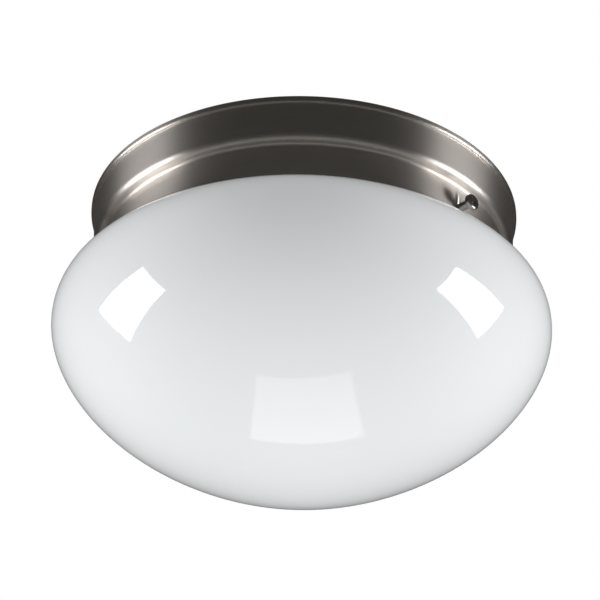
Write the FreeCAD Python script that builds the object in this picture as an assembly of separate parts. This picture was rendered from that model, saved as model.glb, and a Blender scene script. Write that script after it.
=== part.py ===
"""Two-bulb flush mount ceiling light: stepped metal pan, opal glass globe and three thumbscrews.

Millimetres. The origin is the centre of the crossbar's top face, in the plane of the ceiling,
+Z points up into the ceiling, so the whole light hangs at negative Z.
"""

import FreeCAD, Part

import math
import os

Vector = FreeCAD.Vector

UP = Vector(0, 0, 1)
ORIGIN = Vector(0, 0, 0)
FULL_TURN = 360.0

# Pan: one spun steel shell, all radii on its outer face and all depths below the ceiling
SHEET = 0.8
RIM_RADIUS = 106.0
RIM_ROLL_RADIUS = 1.6
RIM_ROLL_START_ANGLE = 215
RIM_ROLL_MIDDLE_ANGLE = 70
RIM_ROLL_END_ANGLE = -80
UPPER_BAND_TOP_RADIUS = 104.4
UPPER_BAND_TOP_DEPTH = 4.0
UPPER_BAND_BOTTOM_RADIUS = 103.5
SHELF_DEPTH = 21.6
SHELF_INNER_BEND = 1.0
SHELF_OUTER_BEND = 1.7
RIM_BEND = 0.9
LOWER_BAND_RADIUS = 98.1
PAN_DEPTH = 39.2
EDGE_CURL_RADIUS = 0.8

# Thumbscrews: three in collars drawn inward from the lower band. They are set out from the first
# in even steps a little under a third of a turn
THUMBSCREW_COUNT = 3
THUMBSCREW_AZIMUTH = -43.1
THUMBSCREW_STEP = 116.8
THUMBSCREW_DEPTH = 34.5
THREAD_RADIUS = 2.05
THREAD_CLEARANCE = 0.05
COLLAR_RADIUS = 2.95
COLLAR_INNER_REACH = 95.4
SCREW_HEAD_FACE = 107.6
SCREW_HEAD_RADIUS = 3.9
SCREW_HEAD_THICKNESS = 2.8
SCREW_HEAD_BACK_ROUNDING = 0.7
SCREW_HEAD_CROWN_ROUNDING = 1.1
SCREW_NECK_FILLET = 0.3
SCREW_TIP_ROUNDING = 0.6
SCREW_TIP_GAP = 0.15
SCREW_RECESS_RADIUS = 2.2
SCREW_RECESS_WIDTH = 0.85
SCREW_RECESS_DEPTH = 1.6

# Globe: blown opal glass. The outline is radius and depth below the ceiling, from the bottom
# of the bowl, round the widest circle, to the top of the shoulder
GLASS = 3.0
BOWL_OUTLINE = [
    (0.0, 142.8),
    (40.0, 137.5),
    (75.0, 122.4),
    (99.6, 104.3),
    (113.8, 87.3),
    (120.65, 66.5),
    (117.8, 55.1),
    (109.6, 46.5),
]
SHOULDER_END_DEPTH = 39.05
SHOULDER_SLOPE = 20.3
NECK_RADIUS = 92.6
NECK_FILLET = 2.5
LIP_RADIUS = 94.9
LIP_TOP_DEPTH = 22.0
LIP_HEIGHT = 3.5
LIP_ROUNDING = 1.4
LIP_FILLET = 0.6
MOUTH_ROUNDING = 1.0

# Socket plate
PLATE_RADIUS = 101.3
PLATE = 0.9
PLATE_BEAD_RADIUS = 85.0
PLATE_BEAD_WIDTH = 3.6
PLATE_BEAD_DEPTH = 1.1
PLATE_BEAD_FLANK = 1.0
PLATE_BEAD_BEND = 0.7
CUT_MARGIN = 2.0

# Crossbar and the screws that hang the plate from it
BAR_LENGTH = 120.0
BAR_WIDTH = 16.0
BAR = 2.0
BAR_SLOT_SPACING = 79.4
BAR_SLOT_LENGTH = 14.2
BAR_SLOT_RADIUS = 2.4
BAR_CENTRE_HOLE_RADIUS = 5.2
BAR_COLLAR_WALL = 1.1
BAR_COLLAR_DROP = 1.6
HANGER_SPACING = 108.0
HANGER_RADIUS = 2.0
HANGER_HEAD_RADIUS = 4.6
HANGER_HEAD_HEIGHT = 2.9
HANGER_RECESS_RADIUS = 2.4
HANGER_END_DEPTH = 0.3
KEYHOLE_SHIFT = 12.0
KEYHOLE_ENTRY_RADIUS = 5.4
KEYHOLE_SLOT_RADIUS = 2.4

# Earth connection
BAR_GROUND_X = -21.0
PLATE_GROUND_PLACE = Vector(-26.0, -22.0, 0)
GROUND_WIRE_RADIUS = 0.7
GROUND_SCREW_RADIUS = 1.9
GROUND_HEAD_RADIUS = 3.9
GROUND_HEAD_HEIGHT = 2.6

# Bushing, leads and connectors
BUSHING_HOLE_RADIUS = 8.0
BUSHING_BORE_RADIUS = 5.6
LEAD_RADIUS = 1.05
LEAD_SPREAD = 1.3
CONNECTOR_LENGTH = 23.0
CONNECTOR_MOUTH_RADIUS = 6.6
CONNECTOR_TIP_RADIUS = 3.6

# Insulation ring
PAD_INNER_RADIUS = 62.0
PAD_OUTER_RADIUS = 100.8
PAD_THICKNESS = 13.0
PAD_ROUNDINGS = [0.5, 1.0, 3.0, 3.0]
PAD_CLEARANCE = 0.3

# Lampholders: each lies along X beside the other, mouths facing opposite ways
LAMP_SIDE_OFFSET = 33.0
LAMP_AXIS_DEPTH = 55.0
LAMPHOLDER_BACK = -69.0
LAMPHOLDER_LENGTH = 42.0
LAMPHOLDER_RADIUS = 19.2
LAMPHOLDER_MOUTH_RADIUS = 20.2
LAMPHOLDER_FLOOR = 12.0
SHELL_RADIUS = 14.1
SHELL = 0.5
SHELL_SEAT_GAP = 0.1
BRACKET = 1.2
BRACKET_WIDTH = 16.0
BRACKET_FOOT = 15.0
BRACKET_BEND_RADIUS = 2.0
BRACKET_END = 6.0
RIVET_RADIUS = 1.6
RIVET_HEAD_RADIUS = 3.0
RIVET_HEAD_HEIGHT = 1.1
RIVET_INSET = 6.0
RIVET_SPACING = 8.0
HOLDER_SCREW_DROP = 9.0
HOLDER_SCREW_HOLE_RADIUS = 1.5
HOLDER_SCREW_REACH = 2.9

# Bulbs
BULB_GAP_TO_CONTACT = 0.4
BULB_LENGTH = 108.0
BULB_RADIUS = 30.0
BULB_WALL = 1.0
CAP_RADIUS = 13.2
CAP_BOTTOM = 3.4
CAP_TOP = 26.0
CAP_WALL = 0.5
BULB_NECK_RADIUS = 12.0

PLATE_UNDERSIDE = -SHELF_DEPTH + SHEET
PLATE_TOP = PLATE_UNDERSIDE + PLATE
LOWER_BAND_INNER = LOWER_BAND_RADIUS - SHEET
CONTACT_TOP = LAMPHOLDER_FLOOR + 3.4
BULB_START = CONTACT_TOP + BULB_GAP_TO_CONTACT


def section_point(radius, height):
    """A point of a turned section, in the plane of X and Z."""
    return Vector(radius, 0, height)


def polar(radius, degrees, height=0.0):
    """A point at a radius and an angle from +X, at a height."""
    turn = math.radians(degrees)
    return Vector(radius * math.cos(turn), radius * math.sin(turn), height)


def rounded_edges(corners, radii):
    """Straight runs through the corners, with a tangent arc of the given radius at each inner one."""
    edges = []
    start = corners[0]
    for before, corner, after, radius in zip(corners, corners[1:], corners[2:], radii):
        back = (before - corner).normalize()
        ahead = (after - corner).normalize()
        half_angle = back.getAngle(ahead) / 2
        reach = radius / math.tan(half_angle)
        entry = corner + back * reach
        leave = corner + ahead * reach
        inward = (back + ahead).normalize()
        middle = corner + inward * (radius / math.sin(half_angle) - radius)
        edges.append(Part.LineSegment(start, entry).toShape())
        edges.append(Part.Arc(entry, middle, leave).toShape())
        start = leave
    edges.append(Part.LineSegment(start, corners[-1]).toShape())
    return edges


def turned(edges):
    """The solid turned about Z from a closed section in the plane of X and Z."""
    face = Part.Face(Part.Wire(edges))
    return face.revolve(ORIGIN, UP, FULL_TURN)


def turned_sheet(centreline_edges, thickness):
    """The solid turned about Z from a sheet that follows an open centreline."""
    contour = Part.Wire(centreline_edges).makeOffset2D(thickness / 2, 0, False, False)
    return Part.Face(contour).revolve(ORIGIN, UP, FULL_TURN)


def polygon_section(points, radii=None):
    """The closed section through the points, its corners rounded where radii are given."""
    if radii is None:
        return Part.makePolygon(points + [points[0]]).Edges
    last = (points[-1] + points[0]) / 2
    return rounded_edges([last] + points + [last], radii)


def rod(radius, start, end):
    """A round rod from one point to another."""
    return Part.makeCylinder(radius, (end - start).Length, start, end - start)


def slot_prism(first, second, radius, bottom, top):
    """A prism with round ends through two points, for cutting a slot."""
    run = second - first
    side = Vector(-run.y, run.x, 0).normalize() * radius
    lift = Vector(0, 0, bottom)
    tip_a = first - Vector(run).normalize() * radius
    tip_b = second + Vector(run).normalize() * radius
    edges = [
        Part.LineSegment(first + side + lift, second + side + lift).toShape(),
        Part.Arc(second + side + lift, tip_b + lift, second - side + lift).toShape(),
        Part.LineSegment(second - side + lift, first - side + lift).toShape(),
        Part.Arc(first - side + lift, tip_a + lift, first + side + lift).toShape(),
    ]
    return Part.Face(Part.Wire(edges)).extrude(Vector(0, 0, top - bottom))


def half_turn(shape):
    """A copy turned half a turn about the light's axis."""
    copy = shape.copy()
    copy.rotate(ORIGIN, UP, 180)
    return copy


def cross_recess(radius, width, depth):
    """The cutter of a cross recess, with its mouth in the plane z = 0 and its bottom below."""
    bottom = -depth
    blades = [
        Part.makeBox(2 * radius, width, depth, Vector(-radius, -width / 2, bottom)),
        Part.makeBox(width, 2 * radius, depth, Vector(-width / 2, -radius, bottom)),
    ]
    cross = blades[0].fuse(blades[1])
    cone = Part.makeCone(width / 2, radius, depth, Vector(0, 0, bottom))
    return cross.common(cone)


def pan_head(radius, height, recess_radius):
    """A pan head that sits on z = 0, with a rounded crown and a cross recess in its top."""
    section = [
        section_point(0, 0),
        section_point(radius, 0),
        section_point(radius, height * 0.45),
    ]
    crown_middle = section_point(radius * 0.78, height * 0.86)
    top = section_point(0, height)
    edges = [
        Part.LineSegment(section[0], section[1]).toShape(),
        Part.LineSegment(section[1], section[2]).toShape(),
        Part.Arc(section[2], crown_middle, top).toShape(),
        Part.LineSegment(top, section[0]).toShape(),
    ]
    cutter = cross_recess(recess_radius, 0.9, height * 0.6)
    cutter.translate(Vector(0, 0, height))
    return turned(edges).cut(cutter)


def pointing(shape, direction, place):
    """The shape turned so that its +Z points along the direction, then moved to the place."""
    copy = shape.copy()
    turn = FreeCAD.Placement(place, FreeCAD.Rotation(UP, direction))
    copy.Placement = turn.multiply(shape.Placement)
    return copy


# Pan

def pan_centreline():
    """The middle of the pan's sheet, from the curled lower edge up to the end of the rim's roll."""
    half = SHEET / 2
    lower_r = LOWER_BAND_RADIUS - half
    shelf_z = -SHELF_DEPTH + half
    curl_z = -PAN_DEPTH + half + EDGE_CURL_RADIUS
    curl_centre = section_point(lower_r - EDGE_CURL_RADIUS, curl_z)
    roll_radius = RIM_ROLL_RADIUS - half
    roll_centre = section_point(RIM_RADIUS - RIM_ROLL_RADIUS, -RIM_ROLL_RADIUS)

    edges = [
        Part.Arc(
            curl_centre + section_point(-EDGE_CURL_RADIUS, 0),
            curl_centre + section_point(0, -EDGE_CURL_RADIUS),
            curl_centre + section_point(EDGE_CURL_RADIUS, 0),
        ).toShape()
    ]
    neck_end = roll_centre + polar_section(roll_radius, RIM_ROLL_START_ANGLE)
    corners = [
        curl_centre + section_point(EDGE_CURL_RADIUS, 0),
        section_point(lower_r, shelf_z),
        section_point(UPPER_BAND_BOTTOM_RADIUS - half, shelf_z),
        section_point(UPPER_BAND_TOP_RADIUS - half, -UPPER_BAND_TOP_DEPTH),
        neck_end,
    ]
    edges += rounded_edges(corners, [SHELF_INNER_BEND, SHELF_OUTER_BEND, RIM_BEND])
    edges.append(
        Part.Arc(
            neck_end,
            roll_centre + polar_section(roll_radius, RIM_ROLL_MIDDLE_ANGLE),
            roll_centre + polar_section(roll_radius, RIM_ROLL_END_ANGLE),
        ).toShape()
    )
    return edges


def polar_section(radius, degrees):
    """An offset in the plane of X and Z, at an angle from +X towards +Z."""
    turn = math.radians(degrees)
    return section_point(radius * math.cos(turn), radius * math.sin(turn))


def thumbscrew_angles():
    """The angles from +X of the three thumbscrews."""
    return [THUMBSCREW_AZIMUTH + THUMBSCREW_STEP * index for index in range(THUMBSCREW_COUNT)]


def make_canopy_shell():
    """The spun pan with its three drawn and tapped collars."""
    shell = turned_sheet(pan_centreline(), SHEET)
    for angle in thumbscrew_angles():
        inner = polar(COLLAR_INNER_REACH, angle, -THUMBSCREW_DEPTH)
        middle = polar(LOWER_BAND_INNER + SHEET / 2, angle, -THUMBSCREW_DEPTH)
        outer = polar(LOWER_BAND_RADIUS + 2, angle, -THUMBSCREW_DEPTH)
        shell = shell.fuse(rod(COLLAR_RADIUS, inner, middle))
        shell = shell.cut(rod(THREAD_RADIUS + THREAD_CLEARANCE, inner - (outer - inner), outer))
    return shell


# Globe

def shoulder_normal():
    """The outward direction of the shoulder where it runs into the neck's fillet."""
    slope = math.radians(SHOULDER_SLOPE)
    return section_point(math.sin(slope), math.cos(slope))


def outer_profile():
    """The outside of the glass from the bottom of the bowl to the start of the neck's fillet."""
    end_radius = NECK_RADIUS + NECK_FILLET * (1 - shoulder_normal().x)
    points = [section_point(radius, -depth) for radius, depth in BOWL_OUTLINE]
    points.append(section_point(end_radius, -SHOULDER_END_DEPTH))
    curve = Part.BSplineCurve()
    curve.interpolate(
        Points=points,
        InitialTangent=section_point(1, 0),
        FinalTangent=section_point(-shoulder_normal().z, shoulder_normal().x),
    )
    return curve, points


def inner_profile(outer, outer_points):
    """The inside of the glass, one wall thickness in from the outside all the way."""
    points = []
    for point in outer_points:
        along = outer.tangent(outer.parameter(point))[0]
        points.append(point - section_point(along.z, -along.x) * GLASS)
    curve = Part.BSplineCurve()
    curve.interpolate(
        Points=points,
        InitialTangent=section_point(1, 0),
        FinalTangent=section_point(-shoulder_normal().z, shoulder_normal().x),
    )
    return curve


def make_globe():
    """The opal glass: bowl, shoulder, filleted neck and rolled lip, all of one wall."""
    outer, outer_points = outer_profile()
    inner = inner_profile(outer, outer_points)
    outer_end = outer.value(outer.LastParameter)
    inner_end = inner.value(inner.LastParameter)
    neck_inner = NECK_RADIUS - GLASS
    normal = shoulder_normal()
    fillet_centre = outer_end + normal * NECK_FILLET
    outer_neck = section_point(NECK_RADIUS, fillet_centre.z)
    inner_neck = section_point(neck_inner, fillet_centre.z)
    halfway = (section_point(-1, 0) - normal).normalize()

    lip_top = -LIP_TOP_DEPTH
    lip_bottom = lip_top - LIP_HEIGHT
    lip_edges = rounded_edges(
        [
            outer_neck,
            section_point(NECK_RADIUS, lip_bottom),
            section_point(LIP_RADIUS, lip_bottom),
            section_point(LIP_RADIUS, lip_top),
            section_point(neck_inner, lip_top),
            inner_neck,
        ],
        [LIP_FILLET, LIP_ROUNDING, LIP_ROUNDING, MOUTH_ROUNDING],
    )
    edges = [
        outer.toShape(),
        Part.Arc(outer_end, fillet_centre + halfway * NECK_FILLET, outer_neck).toShape(),
        *lip_edges,
        Part.Arc(inner_neck, fillet_centre + halfway * (NECK_FILLET + GLASS), inner_end).toShape(),
        inner.toShape(),
        Part.LineSegment(inner.value(inner.FirstParameter), outer_points[0]).toShape(),
    ]
    return turned(Part.__sortEdges__(edges))


# Thumbscrews

def make_thumbscrew(angle):
    """One thumbscrew: rounded head with a cross recess, plain round shank and a flat, rounded tip."""
    tip = NECK_RADIUS + SCREW_TIP_GAP
    head_seat = SCREW_HEAD_FACE - SCREW_HEAD_THICKNESS
    body = turned(
        rounded_edges(
            [
                section_point(0, tip),
                section_point(THREAD_RADIUS, tip),
                section_point(THREAD_RADIUS, head_seat),
                section_point(SCREW_HEAD_RADIUS, head_seat),
                section_point(SCREW_HEAD_RADIUS, SCREW_HEAD_FACE),
                section_point(0, SCREW_HEAD_FACE),
            ],
            [
                SCREW_TIP_ROUNDING,
                SCREW_NECK_FILLET,
                SCREW_HEAD_BACK_ROUNDING,
                SCREW_HEAD_CROWN_ROUNDING,
            ],
        )
        + [Part.LineSegment(section_point(0, SCREW_HEAD_FACE), section_point(0, tip)).toShape()]
    )
    recess = cross_recess(SCREW_RECESS_RADIUS, SCREW_RECESS_WIDTH, SCREW_RECESS_DEPTH)
    recess.translate(Vector(0, 0, SCREW_HEAD_FACE))
    screw = body.cut(recess)
    return pointing(screw, polar(1, angle), Vector(0, 0, -THUMBSCREW_DEPTH))


# Plate, insulation and crossbar

def keyhole(side):
    """The cutter of one keyhole: a slot at the screw and a round entry a twist away."""
    screw = Vector(side * HANGER_SPACING / 2, 0, 0)
    entry = screw + Vector(0, side * KEYHOLE_SHIFT, 0)
    bottom = Vector(0, 0, PLATE_UNDERSIDE - CUT_MARGIN)
    top = Vector(0, 0, PLATE_TOP + CUT_MARGIN)
    slot = slot_prism(screw, entry, KEYHOLE_SLOT_RADIUS, bottom.z, top.z)
    return slot.fuse(rod(KEYHOLE_ENTRY_RADIUS, entry + bottom, entry + top))


def make_socket_plate():
    """The flat plate with a ring bead, two keyholes, a bushing hole and the screw and rivet holes."""
    middle = PLATE_UNDERSIDE + PLATE / 2
    bead_half = PLATE_BEAD_WIDTH / 2
    centreline = rounded_edges(
        [
            section_point(BUSHING_HOLE_RADIUS + PLATE / 2, middle),
            section_point(PLATE_BEAD_RADIUS - bead_half, middle),
            section_point(PLATE_BEAD_RADIUS - bead_half + PLATE_BEAD_FLANK, middle - PLATE_BEAD_DEPTH),
            section_point(PLATE_BEAD_RADIUS + bead_half - PLATE_BEAD_FLANK, middle - PLATE_BEAD_DEPTH),
            section_point(PLATE_BEAD_RADIUS + bead_half, middle),
            section_point(PLATE_RADIUS - PLATE / 2, middle),
        ],
        [PLATE_BEAD_BEND] * 4,
    )
    plate = turned_sheet(centreline, PLATE)
    plate = plate.cut(keyhole(1)).cut(keyhole(-1))
    below = Vector(0, 0, PLATE_UNDERSIDE - CUT_MARGIN)
    above = Vector(0, 0, PLATE_TOP + CUT_MARGIN)
    for place in rivet_places():
        plate = plate.cut(rod(RIVET_RADIUS, place + below, place + above))
    return plate.cut(rod(GROUND_SCREW_RADIUS, PLATE_GROUND_PLACE + below, PLATE_GROUND_PLACE + above))


def make_insulation_pad():
    """The ring of insulation that lies on the plate, let in over the rivet heads."""
    base = PLATE_TOP
    pad = turned(
        polygon_section(
            [
                section_point(PAD_INNER_RADIUS, base),
                section_point(PAD_OUTER_RADIUS, base),
                section_point(PAD_OUTER_RADIUS, base + PAD_THICKNESS),
                section_point(PAD_INNER_RADIUS, base + PAD_THICKNESS),
            ],
            PAD_ROUNDINGS,
        )
    )
    for place in rivet_places():
        foot = place + Vector(0, 0, base)
        roof = foot + Vector(0, 0, RIVET_HEAD_HEIGHT + PAD_CLEARANCE)
        pad = pad.cut(rod(RIVET_HEAD_RADIUS + PAD_CLEARANCE, foot, roof))
    return pad


def make_crossbar():
    """The mounting bar: round ends, two box-screw slots, a centre hole and drawn, tapped holes."""
    half = BAR_LENGTH / 2 - BAR_WIDTH / 2
    bar = slot_prism(Vector(-half, 0, 0), Vector(half, 0, 0), BAR_WIDTH / 2, -BAR, 0)
    slot_half = BAR_SLOT_LENGTH / 2 - BAR_SLOT_RADIUS
    for side in (-1, 1):
        centre = side * BAR_SLOT_SPACING / 2
        slot = slot_prism(
            Vector(centre - slot_half, 0, 0),
            Vector(centre + slot_half, 0, 0),
            BAR_SLOT_RADIUS,
            -BAR - CUT_MARGIN,
            CUT_MARGIN,
        )
        hanger = Vector(side * HANGER_SPACING / 2, 0, 0)
        collar_end = hanger - Vector(0, 0, BAR + BAR_COLLAR_DROP)
        collar = rod(HANGER_RADIUS + BAR_COLLAR_WALL, collar_end, hanger)
        thread_end = collar_end - Vector(0, 0, CUT_MARGIN)
        thread = rod(HANGER_RADIUS + THREAD_CLEARANCE, thread_end, hanger + Vector(0, 0, CUT_MARGIN))
        bar = bar.fuse(collar).cut(thread).cut(slot)
    below = Vector(0, 0, -BAR - CUT_MARGIN)
    above = Vector(0, 0, CUT_MARGIN)
    ground = Vector(BAR_GROUND_X, 0, 0)
    centre_hole = rod(BAR_CENTRE_HOLE_RADIUS, below, above)
    ground_hole = rod(GROUND_SCREW_RADIUS, ground + below, ground + above)
    return bar.cut(centre_hole).cut(ground_hole).removeSplitter()


def make_mounting_screws():
    """The two screws that hang the plate from the bar, heads up against the plate's underside."""
    head = pan_head(HANGER_HEAD_RADIUS, HANGER_HEAD_HEIGHT, HANGER_RECESS_RADIUS)
    screws = []
    for side in (-1, 1):
        seat = Vector(side * HANGER_SPACING / 2, 0, PLATE_UNDERSIDE)
        shank = rod(HANGER_RADIUS, seat, Vector(seat.x, 0, -HANGER_END_DEPTH))
        screws.append(pointing(head, Vector(0, 0, -1), seat).fuse(shank))
    return Part.makeCompound(screws)


# Earth connection

def hex_screw(seat, down, shank_length):
    """A hexagon-head screw with its washer face on the seat and its shank into the metal."""
    flange = Part.makeCylinder(GROUND_HEAD_RADIUS + 0.4, 0.6)
    corners = [polar(GROUND_HEAD_RADIUS, 60 * index, 0.6) for index in range(7)]
    hexagon = Part.Face(Part.makePolygon(corners)).extrude(Vector(0, 0, GROUND_HEAD_HEIGHT - 0.6))
    slot = Part.makeBox(12, 0.9, 1.1, Vector(-6, -0.45, GROUND_HEAD_HEIGHT - 1.0))
    shank = Part.makeCylinder(GROUND_SCREW_RADIUS - 0.05, shank_length, Vector(0, 0, -shank_length))
    screw = flange.fuse(hexagon).fuse(shank).cut(slot)
    return pointing(screw, down, seat)


def bar_ground_seat():
    """Where the head of the bar's earth screw sits, a wire's thickness below the bar."""
    return Vector(BAR_GROUND_X, 0, -BAR - 2 * GROUND_WIRE_RADIUS)


def plate_ground_seat():
    """Where the head of the plate's earth screw sits, a wire's thickness above the plate."""
    return PLATE_GROUND_PLACE + Vector(0, 0, PLATE_TOP + 2 * GROUND_WIRE_RADIUS)


def make_ground_wire():
    """The bare wire between the two earth screws, hooked round each of them."""
    hook_radius = GROUND_SCREW_RADIUS + GROUND_WIRE_RADIUS + 0.1
    low = plate_ground_seat() - Vector(0, 0, GROUND_WIRE_RADIUS)
    high = bar_ground_seat() + Vector(0, 0, GROUND_WIRE_RADIUS)
    low_hook = [low + polar(hook_radius, angle) for angle in (-260, -130, 0)]
    high_hook = [high + polar(hook_radius, angle) for angle in (0, 130, 260)]
    corners = [
        low_hook[-1],
        low_hook[-1] + Vector(0, 6.0, 0),
        (low_hook[-1] + high_hook[0]) / 2 + Vector(0, -0.5, -0.5),
        high_hook[0] + Vector(0, -7.0, 0),
        high_hook[0],
    ]
    edges = [
        Part.Arc(*low_hook).toShape(),
        *rounded_edges(corners, bend_radii(corners)),
        Part.Arc(*high_hook).toShape(),
    ]
    return pipe(edges, GROUND_WIRE_RADIUS)


def bend_radii(corners):
    """The largest even bends that the runs between the corners leave room for."""
    radii = []
    for before, corner, after in zip(corners, corners[1:], corners[2:]):
        back = before - corner
        ahead = after - corner
        shorter = min(back.Length, ahead.Length)
        radii.append(0.45 * shorter * math.tan(back.getAngle(ahead) / 2))
    return radii


def pipe(edges, radius):
    """A round wire along joined edges."""
    path = Part.Wire(edges)
    first = path.Edges[0]
    start = first.valueAt(first.FirstParameter)
    ahead = first.tangentAt(first.FirstParameter)
    section = Part.Wire(Part.makeCircle(radius, start, ahead))
    return path.makePipeShell([section], True, False)


# Bushing, leads and connectors

def make_wire_bushing():
    """The nylon bushing snapped into the plate's centre hole."""
    bore = BUSHING_BORE_RADIUS
    body = BUSHING_HOLE_RADIUS - 0.1
    points = [
        section_point(bore, PLATE_UNDERSIDE - 1.8),
        section_point(body + 2.2, PLATE_UNDERSIDE - 1.8),
        section_point(body + 2.2, PLATE_UNDERSIDE),
        section_point(body, PLATE_UNDERSIDE),
        section_point(body, PLATE_TOP + 0.05),
        section_point(body + 0.8, PLATE_TOP + 0.9),
        section_point(body - 0.2, PLATE_TOP + 2.6),
        section_point(bore, PLATE_TOP + 2.6),
    ]
    return turned(polygon_section(points, [1.0, 0.8, 0.2, 0.1, 0.1, 0.2, 0.5, 0.5]))


def lead_route_below(lane):
    """Corners of a lead from the first lampholder's outlet to the bushing, in one of two lanes."""
    side = math.copysign(1, lane)
    outlet_x = LAMPHOLDER_BACK + 7.0
    depth = -LAMP_AXIS_DEPTH
    spread = side * LEAD_SPREAD
    return [
        Vector(outlet_x, LAMP_SIDE_OFFSET - 15.0, depth + 1.5 * spread),
        Vector(outlet_x, 10.0, depth + 1.5 * spread + 1.0),
        Vector(outlet_x + 9.0, 4.6 + spread, depth + spread + 5.0),
        Vector(-38.0, 3.0 + spread, -39.0 + spread),
        Vector(-21.0, 1.0 + spread, -34.5 + 0.5 * spread),
        Vector(-6.5, spread, -31.5 + 0.8 * spread),
        Vector(-LEAD_SPREAD, spread, -25.0),
    ]


def lead_route_above(first_x, side):
    """Corners of a lead from the bushing to the connector on one side of the crossbar."""
    lean = 1.0 if first_x > 0 else -1.0
    mouth = connector_mouth(side)
    across = Vector(1, -side, 0).normalize() * LEAD_SPREAD * lean
    return [
        Vector(first_x, side * LEAD_SPREAD, -13.0 - 0.5 * lean),
        Vector(first_x + 1.5, side * 7.0, -7.5 - 0.2 * lean),
        mouth - connector_direction(side) * 8.0 + across + Vector(0, 0, 1.0),
        mouth + connector_direction(side) * 6.0 + across,
    ]


def connector_direction(side):
    """The way a connector points, away from the middle of the plate."""
    return Vector(1, 1.0 * side, 0).normalize()


def connector_mouth(side):
    """The middle of a connector's mouth."""
    return Vector(12.0, side * 21.0, -12.6)


def make_lead(first_x, side, turned_round):
    """One insulated lead from its lampholder through the bushing into its connector."""
    lane = side if not turned_round else -side
    below = lead_route_below(lane)
    if turned_round:
        below = [Vector(-corner.x, -corner.y, corner.z) for corner in below]
    corners = below + lead_route_above(first_x, side)
    return pipe(rounded_edges(corners, bend_radii(corners)), LEAD_RADIUS)


def make_connector(side):
    """A twist-on connector: ribbed cone with a skirted mouth and a hollow for the lead ends."""
    points = [
        section_point(CONNECTOR_MOUTH_RADIUS, 0),
        section_point(CONNECTOR_MOUTH_RADIUS, 4.0),
        section_point(CONNECTOR_MOUTH_RADIUS - 0.7, 5.5),
        section_point(CONNECTOR_TIP_RADIUS + 0.6, CONNECTOR_LENGTH - 3.0),
        section_point(CONNECTOR_TIP_RADIUS, CONNECTOR_LENGTH),
        section_point(0, CONNECTOR_LENGTH),
        section_point(0, 8.0),
        section_point(3.0, 8.0),
        section_point(3.6, 0),
    ]
    body = turned(Part.makePolygon(points + [points[0]]).Edges)
    flutes = 8
    for index in range(flutes):
        angle = FULL_TURN * index / flutes
        start = polar(CONNECTOR_MOUTH_RADIUS + 0.2, angle, 6.5)
        end = polar(CONNECTOR_TIP_RADIUS + 1.6, angle, CONNECTOR_LENGTH + 1)
        body = body.cut(rod(0.9, start, end))
    return pointing(body, connector_direction(side), connector_mouth(side))


# Lampholders

def lay_down(shape):
    """A lampholder part from its own frame, with Z along its axis, to the first holder's place."""
    place = Vector(LAMPHOLDER_BACK, LAMP_SIDE_OFFSET, -LAMP_AXIS_DEPTH)
    return pointing(shape, Vector(1, 0, 0), place)


def rivet_places():
    """The four rivets of the two bracket feet, in plan."""
    inner = LAMPHOLDER_BACK - BRACKET + BRACKET_FOOT - RIVET_INSET
    first = [
        Vector(inner, LAMP_SIDE_OFFSET + RIVET_SPACING / 2 * side, 0) for side in (-1, 1)
    ]
    return first + [Vector(-place.x, -place.y, 0) for place in first]


def make_lampholder_body():
    """Glazed porcelain body with a waist, a beaded mouth, a floor, and an outlet for the leads."""
    radius = LAMPHOLDER_RADIUS
    mouth = LAMPHOLDER_MOUTH_RADIUS
    length = LAMPHOLDER_LENGTH
    bore = SHELL_RADIUS + SHELL_SEAT_GAP
    outline = [
        section_point(0, 0),
        section_point(radius - 1.6, 0),
        section_point(radius, 7.0),
        section_point(radius, LAMPHOLDER_FLOOR + 1),
        section_point(radius - 1.8, LAMPHOLDER_FLOOR + 4),
        section_point(radius - 1.8, length - 11),
        section_point(mouth, length - 8),
        section_point(mouth, length),
        section_point(bore, length),
        section_point(bore, LAMPHOLDER_FLOOR),
        section_point(0, LAMPHOLDER_FLOOR),
    ]
    body = turned(
        rounded_edges(outline, [1.5, 2.0, 1.5, 1.5, 1.5, 1.2, 1.8, 0.8, 0.5])
        + [Part.LineSegment(outline[-1], outline[0]).toShape()]
    )
    wiring_space = Part.makeCylinder(9.5, 7.0, Vector(0, 0, 3.0))
    outlet = slot_prism(Vector(-2.4, 0, 0), Vector(2.4, 0, 0), 2.4, 0, 24.0)
    outlet.rotate(ORIGIN, Vector(1, 0, 0), 90)
    outlet.translate(Vector(0, 0, 7.0))
    body = body.cut(wiring_space).cut(outlet)
    for side in (-1, 1):
        foot = Vector(side * HOLDER_SCREW_DROP, 0, -0.1)
        body = body.cut(rod(HOLDER_SCREW_HOLE_RADIUS, foot, foot + Vector(0, 0, 3.6)))
    return lay_down(body)


def make_screw_shell():
    """The brass shell that takes the bulb's cap, with a rolled mouth and an open base."""
    middle = SHELL_RADIUS - SHELL / 2
    floor = LAMPHOLDER_FLOOR + SHELL / 2 + 0.05
    centreline = rounded_edges(
        [
            section_point(9.0, floor),
            section_point(middle, floor),
            section_point(middle, LAMPHOLDER_LENGTH - 1.5),
        ],
        [0.8],
    )
    return lay_down(turned_sheet(centreline, SHELL))


def make_centre_contact():
    """The springy brass tab under the bulb's tip, with its foot on the holder's floor."""
    width = 6.0
    floor = LAMPHOLDER_FLOOR
    profile = rounded_edges(
        [
            section_point(-6.5, floor + 0.3),
            section_point(4.0, floor + 0.3),
            section_point(6.5, floor + 1.6),
            section_point(0, CONTACT_TOP - 0.3),
            section_point(-3.5, CONTACT_TOP - 0.9),
        ],
        [1.5, 0.8, 1.5],
    )
    strip = Part.Wire(profile).makeOffset2D(0.2, 0, False, False)
    tab = Part.Face(strip).extrude(Vector(0, width, 0))
    tab.translate(Vector(0, -width / 2, -0.1))
    return lay_down(tab)


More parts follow.
